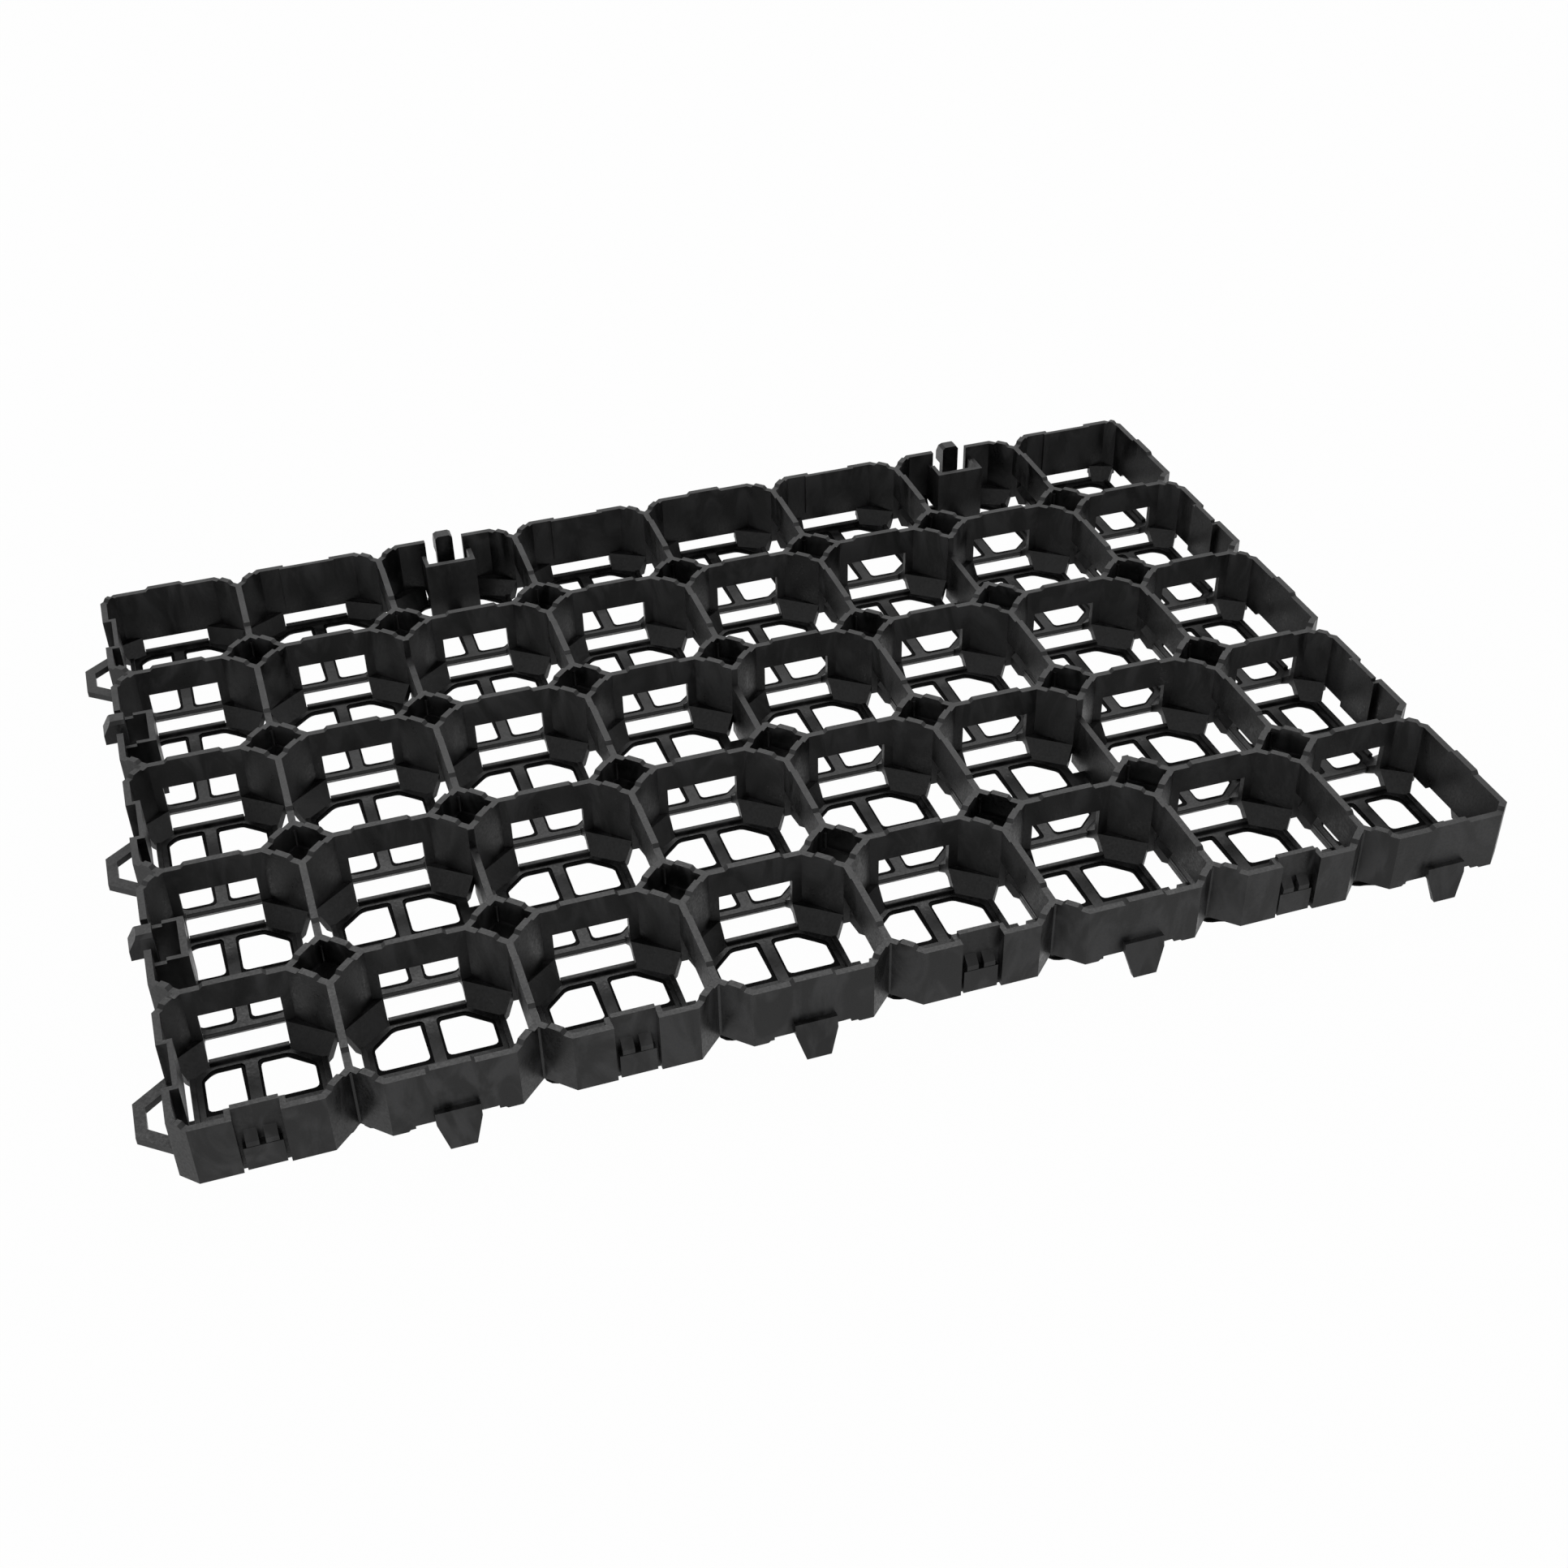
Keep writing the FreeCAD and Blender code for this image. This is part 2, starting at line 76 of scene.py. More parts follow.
class PaverPanelSizes(bpy.types.PropertyGroup):
    """Sizes of the panel and its edges"""

    columns: bpy.props.IntProperty(
        name="Columns", description="Cells along the long side", default=8)
    rows: bpy.props.IntProperty(
        name="Rows", description="Cells along the short side", default=5)
    pitch: bpy.props.FloatVectorProperty(
        name="Cell pitch", description="Cell to cell along the long and the short side",
        default=(0.073, 0.080), size=2, unit="LENGTH")
    middle: bpy.props.FloatVectorProperty(
        name="Middle of the cells", description="Middle of the cell field",
        default=(0.004, -0.004), size=2, unit="LENGTH")
    floor: bpy.props.FloatProperty(
        name="Floor", description="Thickness of the cell floors", default=0.0026, unit="LENGTH")
    foot: bpy.props.FloatProperty(
        name="Wall foot", description="Underside of the rim walls", default=0.0085, unit="LENGTH")
    low_top: bpy.props.FloatProperty(
        name="Low wall top", description="Wall tops beside the raised middles", default=0.0366, unit="LENGTH")
    rim: bpy.props.FloatVectorProperty(
        name="Rim", description="Outer faces of the right and the front wall",
        default=(0.292, -0.202), size=2, unit="LENGTH")
    back_rim: bpy.props.FloatProperty(
        name="Back rim", description="Outer face of the back wall", default=0.194, unit="LENGTH")
    wall: bpy.props.FloatProperty(
        name="Wall", description="Thickness of the walls", default=0.003, unit="LENGTH")
    recess_foot: bpy.props.FloatProperty(
        name="Recess foot", description="Underside of the recess above a ring", default=0.013, unit="LENGTH")
    recess_less: bpy.props.FloatProperty(
        name="Shallower recess", description="How much shallower the back recesses are",
        default=0.0025, unit="LENGTH")
    catch_half: bpy.props.FloatProperty(
        name="Catch half", description="Half the width of a catch recess", default=0.009, unit="LENGTH")
    catch_deep: bpy.props.FloatProperty(
        name="Catch depth", description="Depth of a catch recess, as the solid has it",
        default=0.003, unit="LENGTH")
    catch_skin: bpy.props.FloatProperty(
        name="Catch skin", description="Thickness of the wall behind a catch", default=0.0024, unit="LENGTH")
    catch_more: bpy.props.FloatProperty(
        name="Deeper catch", description="How much deeper the front catches are",
        default=0.0018, unit="LENGTH")
    cad_bump: bpy.props.FloatVectorProperty(
        name="Solid's bump", description="Foot, front edge and top of a bump, as the solid has them",
        default=(0.021, 0.024, 0.029), size=3, unit="LENGTH")
    bump: bpy.props.FloatVectorProperty(
        name="Bump", description="Foot, front edge and top of a bump",
        default=(0.0202, 0.0226, 0.0260), size=3, unit="LENGTH")
    pad_deep: bpy.props.FloatProperty(
        name="Pad", description="Face of the pad under the bumps, as the solid has it",
        default=0.0018, unit="LENGTH")
    pad_more: bpy.props.FloatProperty(
        name="Thicker pad", description="How much further out that face lies", default=0.0009, unit="LENGTH")
    tongue_top: bpy.props.FloatProperty(
        name="Tongue top", description="Upper edge of the tongues", default=0.0168, unit="LENGTH")
    tongue_lean: bpy.props.FloatProperty(
        name="Tongue lean", description="How much of its reach a tongue loses towards its upper edge",
        default=0.57, subtype="FACTOR")
    floor_end: bpy.props.FloatProperty(
        name="Floor end", description="Front edge of a floor, measured from the cell's middle",
        default=0.033, unit="LENGTH")
    undercut: bpy.props.FloatProperty(
        name="Undercut", description="How far the front edges of the floors slope back underneath",
        default=0.0018, unit="LENGTH")
    tuck_from: bpy.props.FloatProperty(
        name="Tuck start", description="Front floors are drawn in from here, measured from the cell's middle",
        default=0.020, unit="LENGTH")
    tuck_share: bpy.props.FloatProperty(
        name="Tuck share", description="What is left of the floor beyond the start",
        default=0.58, subtype="FACTOR")
    web_low: bpy.props.FloatProperty(
        name="Web underside", description="Where the webs meet the walls", default=0.005, unit="LENGTH")
    web_raised: bpy.props.FloatProperty(
        name="Front web underside", description="The same behind the front wall",
        default=0.0078, unit="LENGTH")
    edge_radius: bpy.props.FloatProperty(
        name="Edge radius", description="Rounding of the moulded edges", default=0.00035, unit="LENGTH")
    edge_steps: bpy.props.IntProperty(
        name="Edge steps", description="Faces across a rounded edge", default=2)
    sharp_angle: bpy.props.FloatProperty(
        name="Sharp angle", description="Edges sharper than this are rounded",
        default=math.radians(28), subtype="ANGLE")
    cad_bar: bpy.props.FloatProperty(
        name="Solid's bar", description="Bar between the floor holes, as the solid has it",
        default=0.0072, unit="LENGTH")
    bar: bpy.props.FloatProperty(
        name="Bar", description="Bar between the floor holes", default=0.0050, unit="LENGTH")
    hole_stretch: bpy.props.FloatProperty(
        name="Hole stretch", description="How much wider the floor holes are",
        default=1.079, subtype="FACTOR")
    hole_radius: bpy.props.FloatProperty(
        name="Hole radius", description="Rounding of the floor hole corners", default=0.0022, unit="LENGTH")
    hole_steps: bpy.props.IntProperty(
        name="Hole steps", description="Faces across a rounded hole corner", default=4)


class PaverReliefSizes(bpy.types.PropertyGroup):
    """Sizes of the fine relief"""

    lip_width: bpy.props.FloatProperty(
        name="Lip width", description="Thin lip round a floor hole", default=0.0011, unit="LENGTH")
    # The lip is wider towards the front, where the painted shadow band is wider.
    lip_near: bpy.props.FloatProperty(
        name="Front lip width", description="The same on the side towards the front",
        default=0.0024, unit="LENGTH")
    lip_base: bpy.props.FloatProperty(
        name="Lip base", description="Underside of that lip", default=0.0012, unit="LENGTH")
    lip_height: bpy.props.FloatProperty(
        name="Lip height", description="Thickness of that lip", default=0.0010, unit="LENGTH")
    lip_seat: bpy.props.FloatProperty(
        name="Lip seat", description="How far the lip reaches into the floor", default=0.0025, unit="LENGTH")
    rib_width: bpy.props.FloatProperty(
        name="Rib width", description="Rib along the edge of a floor", default=0.0024, unit="LENGTH")
    rib_height: bpy.props.FloatProperty(
        name="Rib height", description="How far a rib stands above the floor", default=0.0017, unit="LENGTH")
    rib_inset: bpy.props.FloatProperty(
        name="Rib inset", description="Middle of a rib, in from the edge of the floor",
        default=0.0013, unit="LENGTH")
    rib_end: bpy.props.FloatProperty(
        name="Rib end", description="A rib stops this far from the end of the floor edge",
        default=0.0003, unit="LENGTH")
    rounding: bpy.props.FloatProperty(
        name="Rounding", description="Rounded edges of ribs and lips", default=0.0003, unit="LENGTH")
    bar_width: bpy.props.FloatProperty(
        name="Bar width", description="Bar across a floor, along the long side",
        default=0.0048, unit="LENGTH")
    bar_seat: bpy.props.FloatProperty(
        name="Bar seat", description="How far a bar reaches into the floor ring",
        default=0.0012, unit="LENGTH")
    bar_sink: bpy.props.FloatProperty(
        name="Bar sink", description="Faces of a bar, in from the faces of the floor",
        default=0.0001, unit="LENGTH")
    strip_width: bpy.props.FloatProperty(
        name="Strip width", description="Flat strip in the angle between two rim cells",
        default=0.0010, unit="LENGTH")
    nub_radius: bpy.props.FloatProperty(
        name="Nub radius", description="Nub in the back corner of a diamond tube",
        default=0.0010, unit="LENGTH")
    nub_place: bpy.props.FloatProperty(
        name="Nub place", description="Nub, back from the middle of its tube", default=0.0121, unit="LENGTH")
    nub_top: bpy.props.FloatProperty(
        name="Nub top", description="Height of the nub's end", default=0.0345, unit="LENGTH")
    nub_length: bpy.props.FloatProperty(
        name="Nub length", description="Length of a nub", default=0.009, unit="LENGTH")


class PaverFinish(bpy.types.PropertyGroup):
    """Colours and surface of the plastic"""

    black: bpy.props.FloatVectorProperty(
        name="Plastic", description="Colour of the recycled plastic",
        default=(0.0022, 0.0022, 0.0023), subtype="COLOR", size=3)
    flow: bpy.props.FloatVectorProperty(
        name="Flow marks", description="Colour of the faint flow marks",
        default=(0.022, 0.022, 0.0225), subtype="COLOR", size=3)
    # Painted highlight: colour laid on the rounded edges in place of the light they catch.
    painted_highlight: bpy.props.FloatVectorProperty(
        name="Highlighted edges", description="Colour of the rubbed edges",
        default=(0.075, 0.075, 0.076), subtype="COLOR", size=3)
    roughness: bpy.props.FloatProperty(
        name="Roughness", description="Mean roughness of the plastic", default=0.42, subtype="FACTOR")
    sheen: bpy.props.FloatProperty(
        name="Sheen", description="How strongly the plastic mirrors", default=0.28, subtype="FACTOR")
    # Painted shadow: the lips keep a dark colour and little sheen so that they read as the shadow band at the
    # foot of the floor holes.
    shadow_lip_black: bpy.props.FloatVectorProperty(
        name="Lip", description="Colour of the matt lips under the floors",
        default=(0.0022, 0.0022, 0.0023), subtype="COLOR", size=3)
    lip_roughness: bpy.props.FloatProperty(
        name="Lip roughness", description="Mean roughness of the lips", default=0.75, subtype="FACTOR")
    lip_sheen: bpy.props.FloatProperty(
        name="Lip sheen", description="How strongly the lips mirror", default=0.07, subtype="FACTOR")


class PaverStage(bpy.types.PropertyGroup):
    """Camera, lamps and floor"""

    camera_place: bpy.props.FloatVectorProperty(
        name="Camera place", description="Where the camera stands",
        default=(-0.22483, -0.76296, 0.58480), subtype="TRANSLATION", unit="LENGTH", size=3)
    camera_turn: bpy.props.FloatVectorProperty(
        name="Camera turn", description="How the camera is turned",
        default=tuple(math.radians(a) for a in (52.800, 0.868, -18.568)), subtype="EULER", size=3)
    lens: bpy.props.FloatProperty(
        name="Lens", description="Focal length on a 36 mm sensor", default=46.48, unit="CAMERA")
    floor_size: bpy.props.FloatProperty(
        name="Floor size", description="Side of the floor", default=12.0, unit="LENGTH")
    floor_grey: bpy.props.FloatProperty(
        name="Floor grey", description="How much light the floor sends back", default=0.35, subtype="FACTOR")
    floor_white: bpy.props.FloatProperty(
        name="Floor white", description="How far the floor hides the panel's shadow",
        default=0.985, subtype="FACTOR")
    floor_drop: bpy.props.FloatProperty(
        name="Floor drop", description="How far the floor lies under the panel",
        default=0.0002, unit="LENGTH")
    sky: bpy.props.FloatProperty(
        name="Room light", description="Strength of the even room light", default=0.42)
    back: bpy.props.FloatProperty(
        name="Back light", description="Power of the soft box behind the panel", default=18.0, unit="POWER")
    back_size: bpy.props.FloatVectorProperty(
        name="Back light size", description="Width and height of that box",
        default=(1.8, 1.0), size=2, unit="LENGTH")
    back_place: bpy.props.FloatVectorProperty(
        name="Back light place", description="Where that box hangs",
        default=(0.30, 1.0, 1.5), subtype="TRANSLATION", unit="LENGTH", size=3)
    front: bpy.props.FloatProperty(
        name="Front light", description="Power of the low soft box in front", default=6.5, unit="POWER")
    front_size: bpy.props.FloatVectorProperty(
        name="Front light size", description="Width and height of that box",
        default=(1.4, 0.3), size=2, unit="LENGTH")
    front_place: bpy.props.FloatVectorProperty(
        name="Front light place", description="Where that box stands",
        default=(-0.6, -1.1, 0.17), subtype="TRANSLATION", unit="LENGTH", size=3)
    front_aim: bpy.props.FloatVectorProperty(
        name="Front light aim", description="Point that this box faces",
        default=(0.0, 0.0, 0.02), subtype="TRANSLATION", unit="LENGTH", size=3)


def new_material(name):
    """An empty node material with its nodes and links."""
    made = bpy.data.materials.new(name)
    made.use_nodes = True
    made.node_tree.nodes.clear()
    return made, made.node_tree.nodes, made.node_tree.links


def moulded_skin():
    """Shader group: flow marks, uneven gloss and the fine grain of a moulding."""
    group = bpy.data.node_groups.get("moulded_skin")
    if group:
        return group
    group = bpy.data.node_groups.new("moulded_skin", "ShaderNodeTree")
    for name, default in (("Flow size", 60.0), ("Grain size", 900.0), ("Gloss", 0.42),
                          ("Gloss spread", 0.45)):
        socket = group.interface.new_socket(name, in_out="INPUT", socket_type="NodeSocketFloat")
        socket.default_value = default
    for name in ("Flow", "Roughness", "Height"):
        group.interface.new_socket(name, in_out="OUTPUT", socket_type="NodeSocketFloat")
    nodes, links = group.nodes, group.links
    given = nodes.new("NodeGroupInput")
    put = nodes.new("NodeGroupOutput")
    place = nodes.new("ShaderNodeTexCoord")

    drawn = nodes.new("ShaderNodeMapping")
    drawn.inputs["Scale"].default_value = (1.0, 1.0, 0.45)
    links.new(place.outputs["Object"], drawn.inputs["Vector"])
    marks = nodes.new("ShaderNodeTexNoise")
    marks.inputs["Detail"].default_value = 5.0
    marks.inputs["Distortion"].default_value = 1.6
    links.new(drawn.outputs["Vector"], marks.inputs["Vector"])
    links.new(given.outputs["Flow size"], marks.inputs["Scale"])
    spread = nodes.new("ShaderNodeMapRange")
    spread.interpolation_type = "SMOOTHSTEP"
    spread.inputs["From Min"].default_value = 0.40
    spread.inputs["From Max"].default_value = 0.66
    links.new(marks.outputs["Fac"], spread.inputs["Value"])
    links.new(spread.outputs["Result"], put.inputs["Flow"])

    grain = nodes.new("ShaderNodeTexNoise")
    grain.inputs["Detail"].default_value = 2.0
    links.new(place.outputs["Object"], grain.inputs["Vector"])
    links.new(given.outputs["Grain size"], grain.inputs["Scale"])
    uneven = nodes.new("ShaderNodeMath")
    uneven.operation = "ADD"
    links.new(marks.outputs["Fac"], uneven.inputs[0])
    links.new(grain.outputs["Fac"], uneven.inputs[1])
    centred = nodes.new("ShaderNodeMath")
    centred.operation = "SUBTRACT"
    centred.inputs[1].default_value = 1.0
    links.new(uneven.outputs[0], centred.inputs[0])
    gloss = nodes.new("ShaderNodeMath")
    gloss.operation = "MULTIPLY_ADD"
    links.new(centred.outputs[0], gloss.inputs[0])
    links.new(given.outputs["Gloss spread"], gloss.inputs[1])
    links.new(given.outputs["Gloss"], gloss.inputs[2])
    links.new(gloss.outputs[0], put.inputs["Roughness"])
    links.new(grain.outputs["Fac"], put.inputs["Height"])
    return group


def plastic(name, black, flow, painted_highlight, roughness, sheen):
    """Black plastic under the moulded skin, with a painted highlight: a little paler where the mesh marks a
    rounded edge.
    """
    made, nodes, links = new_material(name)
    out = nodes.new("ShaderNodeOutputMaterial")
    shader = nodes.new("ShaderNodeBsdfPrincipled")
    shader.inputs["Specular IOR Level"].default_value = sheen
    skin = nodes.new("ShaderNodeGroup")
    skin.node_tree = moulded_skin()
    skin.inputs["Gloss"].default_value = roughness
    tint = nodes.new("ShaderNodeMix")
    tint.data_type = "RGBA"
    tint.inputs["A"].default_value = (*black, 1)
    tint.inputs["B"].default_value = (*flow, 1)
    links.new(skin.outputs["Flow"], tint.inputs["Factor"])
    colour = tint.outputs["Result"]
    # Painted highlight: rounded edges flagged in the mesh get a paler colour, patchy with the flow marks.
    if painted_highlight:
        edge = nodes.new("ShaderNodeAttribute")
        edge.attribute_name = "highlighted"
        share = nodes.new("ShaderNodeMath")
        share.operation = "MULTIPLY"
        links.new(edge.outputs["Fac"], share.inputs[0])
        links.new(skin.outputs["Flow"], share.inputs[1])
        highlight_mix = nodes.new("ShaderNodeMix")
        highlight_mix.data_type = "RGBA"
        highlight_mix.inputs["B"].default_value = (*painted_highlight, 1)
        links.new(share.outputs[0], highlight_mix.inputs["Factor"])
        links.new(colour, highlight_mix.inputs["A"])
        colour = highlight_mix.outputs["Result"]
    links.new(colour, shader.inputs["Base Color"])
    links.new(skin.outputs["Roughness"], shader.inputs["Roughness"])
    bump = nodes.new("ShaderNodeBump")
    bump.inputs["Strength"].default_value = GRAIN_STRENGTH
    bump.inputs["Distance"].default_value = GRAIN_DEPTH
    links.new(skin.outputs["Height"], bump.inputs["Height"])
    links.new(bump.outputs["Normal"], shader.inputs["Normal"])
    links.new(shader.outputs["BSDF"], out.inputs["Surface"])
    return made


def panel_material(finish):
    """The panel's own plastic, made once."""
    made = bpy.data.materials.get("black_recycled_plastic")
    return made or plastic("black_recycled_plastic", finish.black, finish.flow, finish.painted_highlight, finish.roughness,
                           finish.sheen)


def cell_middles(sizes):
    """The middle of every cell, seen from above."""
    for column in range(sizes.columns):
        for row in range(sizes.rows):
            yield Vector((sizes.middle[0] + (column - (sizes.columns - 1) / 2) * sizes.pitch[0],
                          sizes.middle[1] + (row - (sizes.rows - 1) / 2) * sizes.pitch[1]))


def column_at(point, sizes):
    """Number of the nearest column, from 1 on the left, and how far from its middle a point lies."""
    steps = (point.x - sizes.middle[0]) / sizes.pitch[0] + (sizes.columns + 1) / 2
    return round(steps), (steps - round(steps)) * sizes.pitch[0]


def nearest_cell(point, sizes):
    """Where a point lies, seen from the middle of its cell."""
    place = []
    for axis, count in ((0, sizes.columns), (1, sizes.rows)):
        steps = (point[axis] - sizes.middle[axis]) / sizes.pitch[axis] + (count - 1) / 2
        index = min(max(round(steps), 0), count - 1)
        place.append(point[axis] - sizes.middle[axis] - (index - (count - 1) / 2) * sizes.pitch[axis])
    return Vector(place)


def floor_sides(shell, sizes):
    """The upright faces of the cell floors, parted into hole sides and outer edges."""
    holes, edges = [], []
    for face in shell.faces:
        heights = [v.co.z for v in face.verts]
        if abs(face.normal.z) > SQUARE or min(heights) > NEAR or abs(max(heights) - sizes.floor) > NEAR:
            continue
        middle = nearest_cell(face.calc_center_median(), sizes)
        hole = Vector((math.copysign(sizes.pitch[0] / 5, middle.x), 0))
        (holes if (hole - middle).dot(face.normal.xy) > 0 else edges).append(face)
    return holes, edges


def lean_tongues(shell, sizes):
    """Lean the tongues back so that their upper edges lie close to the wall."""
    for corner in shell.verts:
        for axis, sign in ((0, 1), (1, -1)):
            out = sign * (corner.co[axis] - sizes.rim[axis])
            if out > 10 * NEAR:
                share = 1 - sizes.tongue_lean * corner.co.z / sizes.tongue_top
                corner.co[axis] = sizes.rim[axis] + sign * out * share


def flatten_recesses(shell, sizes):
    """Make the recesses above the back rings shallower."""
    for corner in shell.verts:
        deep = sizes.back_rim - corner.co.y
        number, off = column_at(corner.co, sizes)
        if (sizes.wall + NEAR < deep < 3 * sizes.wall and corner.co.z > sizes.recess_foot - NEAR
                and number % 2 == 0 and abs(off) < sizes.pitch[0] / 5):
            corner.co.y += sizes.recess_less


def deepen_catches(shell, sizes):
    """Set the backs of the front catches deeper, and let the bumps meet the pads below them."""
    near = 5 * NEAR
    for corner in shell.verts:
        number, off = column_at(corner.co, sizes)
        deep = corner.co.y - sizes.rim[1]
        if number % 2 == 0 or corner.co.z < sizes.foot - near:
            continue
        inside = abs(off) < sizes.catch_half + near
        behind = abs(off) < sizes.catch_half + sizes.catch_skin + near
        if inside and near < deep < sizes.catch_deep + near:
            for height, shown in zip(sizes.cad_bump, sizes.bump):
                if abs(corner.co.z - height) < near:
                    corner.co.z = shown
                    break
        if inside and abs(deep - sizes.pad_deep) < near:
            corner.co.y -= sizes.pad_more
        elif (inside and abs(deep - sizes.catch_deep) < near
                or behind and abs(deep - sizes.catch_deep - sizes.catch_skin) < near):
            corner.co.y += sizes.catch_more


def tuck_front(shell, sizes):
    """Draw the floors and webs of the front row in behind the front wall."""
    row = sizes.middle[1] - (sizes.rows - 1) / 2 * sizes.pitch[1]
    for corner in shell.verts:
        ahead = row - sizes.tuck_from - corner.co.y
        if ahead < 0 or corner.co.y < sizes.rim[1]:
            continue
        if corner.co.z < sizes.floor + sizes.edge_radius:
            corner.co.y += ahead * (1 - sizes.tuck_share)
        elif abs(corner.co.z - sizes.web_low) < 2 * sizes.edge_radius:
            corner.co.z += sizes.web_raised - sizes.web_low
    shell.normal_update()
    bent = [face for face in shell.faces
            if max(abs(face.normal.dot(v.co - face.verts[0].co)) for v in face.verts) > NEAR]
    bmesh.ops.triangulate(shell, faces=bent)


def undercut_floors(shell, sizes):
    """Slope the front edges of the floors back underneath."""
    for corner in shell.verts:
        place = nearest_cell(corner.co, sizes)
        if (abs(place.y + sizes.floor_end) < 2 * sizes.edge_radius and abs(place.x) < sizes.pitch[0] / 4
                and corner.co.z < sizes.floor):
            corner.co.y += sizes.undercut * (1 - corner.co.z / sizes.floor)


def widen_holes(shell, sizes):
    """Widen the floor holes towards the bar between them and towards their outer sides."""
    for corner in {v for face in floor_sides(shell, sizes)[0] for v in face.verts}:
        place = nearest_cell(corner.co, sizes).x
        half = sizes.bar / 2 + (abs(place) - sizes.cad_bar / 2) * sizes.hole_stretch
        corner.co.x += math.copysign(half, place) - place
    shell.normal_update()


def panel_shell(sizes):
    """A copy of the panel's mesh: triangles joined to flat faces, tongues, recesses and holes adjusted."""
    shell = bmesh.new()
    shell.from_mesh(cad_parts[NODE].data)
    bmesh.ops.remove_doubles(shell, verts=shell.verts, dist=2 * NEAR)
    bmesh.ops.dissolve_limit(shell, angle_limit=FLAT, verts=shell.verts, edges=shell.edges)
    lean_tongues(shell, sizes)
    flatten_recesses(shell, sizes)
    deepen_catches(shell, sizes)
    shell.normal_update()
    widen_holes(shell, sizes)
    return shell


class PAVER_OT_panel(bpy.types.Operator):
    """The moulded panel with its edges and floor holes rounded"""

    bl_idname = "paver.panel"
    bl_label = "Moulded panel"

    def execute(self, context):
        sizes, finish = context.scene.paver_sizes, context.scene.paver_finish
        shell = panel_shell(sizes)
        holes = set(floor_sides(shell, sizes)[0])
        corners = [e for e in shell.edges if len(e.link_faces) == 2 and holes.issuperset(e.link_faces)]
        if not corners:
            raise RuntimeError("the panel has no floor holes")
        round_off = dict(offset_type="OFFSET", profile=0.5, affect="EDGES", clamp_overlap=True)
        bmesh.ops.bevel(shell, geom=corners, offset=sizes.hole_radius, segments=sizes.hole_steps, **round_off)
        # Flag the faces of the rounded edges for the painted highlight in the material.
        highlighted = shell.faces.layers.float.new("highlighted")
        sharp = [e for e in shell.edges if e.is_manifold and e.calc_face_angle() > sizes.sharp_angle]
        rounded = bmesh.ops.bevel(shell, geom=sharp, offset=sizes.edge_radius, segments=sizes.edge_steps,
                                  **round_off)
        for face in rounded["faces"]:
            face[highlighted] = 1.0
        tuck_front(shell, sizes)
        undercut_floors(shell, sizes)
        mesh = bpy.data.meshes.new("moulded_panel")
        shell.to_mesh(mesh)
        shell.free()
        mesh.materials.append(panel_material(finish))
        piece = bpy.data.objects.new("moulded_panel", mesh)
        context.scene.collection.objects.link(piece)
        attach(piece, BODY)
        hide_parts(NODE)
        return {"FINISHED"}


def finish_tree(tree, made, given, put):
    """Make what was grown real, give it its material and put it out."""
    real = tree.nodes.new("GeometryNodeRealizeInstances")
    tree.links.new(made, real.inputs["Geometry"])
    dressed = tree.nodes.new("GeometryNodeSetMaterial")
    tree.links.new(real.outputs["Geometry"], dressed.inputs["Geometry"])
    tree.links.new(given.outputs["Finish"], dressed.inputs["Material"])
    tree.links.new(dressed.outputs["Geometry"], put.inputs["Geometry"])


def bead_tree():
    """Geometry nodes: a bead of rectangular section, its edges rounded, laid along every path."""
    tree = bpy.data.node_groups.get("moulded_bead")
    if tree:
        return tree
    tree = bpy.data.node_groups.new("moulded_bead", "GeometryNodeTree")
    tree.interface.new_socket("Geometry", in_out="INPUT", socket_type="NodeSocketGeometry")
    for name in ("Width", "Height", "Corner", "Rounding"):
        tree.interface.new_socket(name, in_out="INPUT", socket_type="NodeSocketFloat")
    tree.interface.new_socket("Finish", in_out="INPUT", socket_type="NodeSocketMaterial")
    tree.interface.new_socket("Geometry", in_out="OUTPUT", socket_type="NodeSocketGeometry")
    nodes, links = tree.nodes, tree.links
    given = nodes.new("NodeGroupInput")
    put = nodes.new("NodeGroupOutput")

    path = nodes.new("GeometryNodeMeshToCurve")
    links.new(given.outputs["Geometry"], path.inputs["Mesh"])
    corner = nodes.new("GeometryNodeFilletCurve")
    corner.mode = "POLY"
    corner.inputs["Count"].default_value = 3
    corner.inputs["Limit Radius"].default_value = True
    links.new(path.outputs["Curve"], corner.inputs["Curve"])
    links.new(given.outputs["Corner"], corner.inputs["Radius"])
    upright = nodes.new("GeometryNodeSetCurveNormal")
    upright.mode = "Z_UP"
    links.new(corner.outputs["Curve"], upright.inputs["Curve"])

    section = nodes.new("GeometryNodeCurvePrimitiveQuadrilateral")
    links.new(given.outputs["Width"], section.inputs["Width"])
    links.new(given.outputs["Height"], section.inputs["Height"])
    soft = nodes.new("GeometryNodeFilletCurve")
    soft.mode = "POLY"
    soft.inputs["Count"].default_value = 1
    soft.inputs["Limit Radius"].default_value = True
    links.new(section.outputs["Curve"], soft.inputs["Curve"])
    links.new(given.outputs["Rounding"], soft.inputs["Radius"])
    bead = nodes.new("GeometryNodeCurveToMesh")
    bead.inputs["Fill Caps"].default_value = True
    links.new(upright.outputs["Curve"], bead.inputs["Curve"])
    links.new(soft.outputs["Curve"], bead.inputs["Profile Curve"])
    finish_tree(tree, bead.outputs["Mesh"], given, put)
    return tree


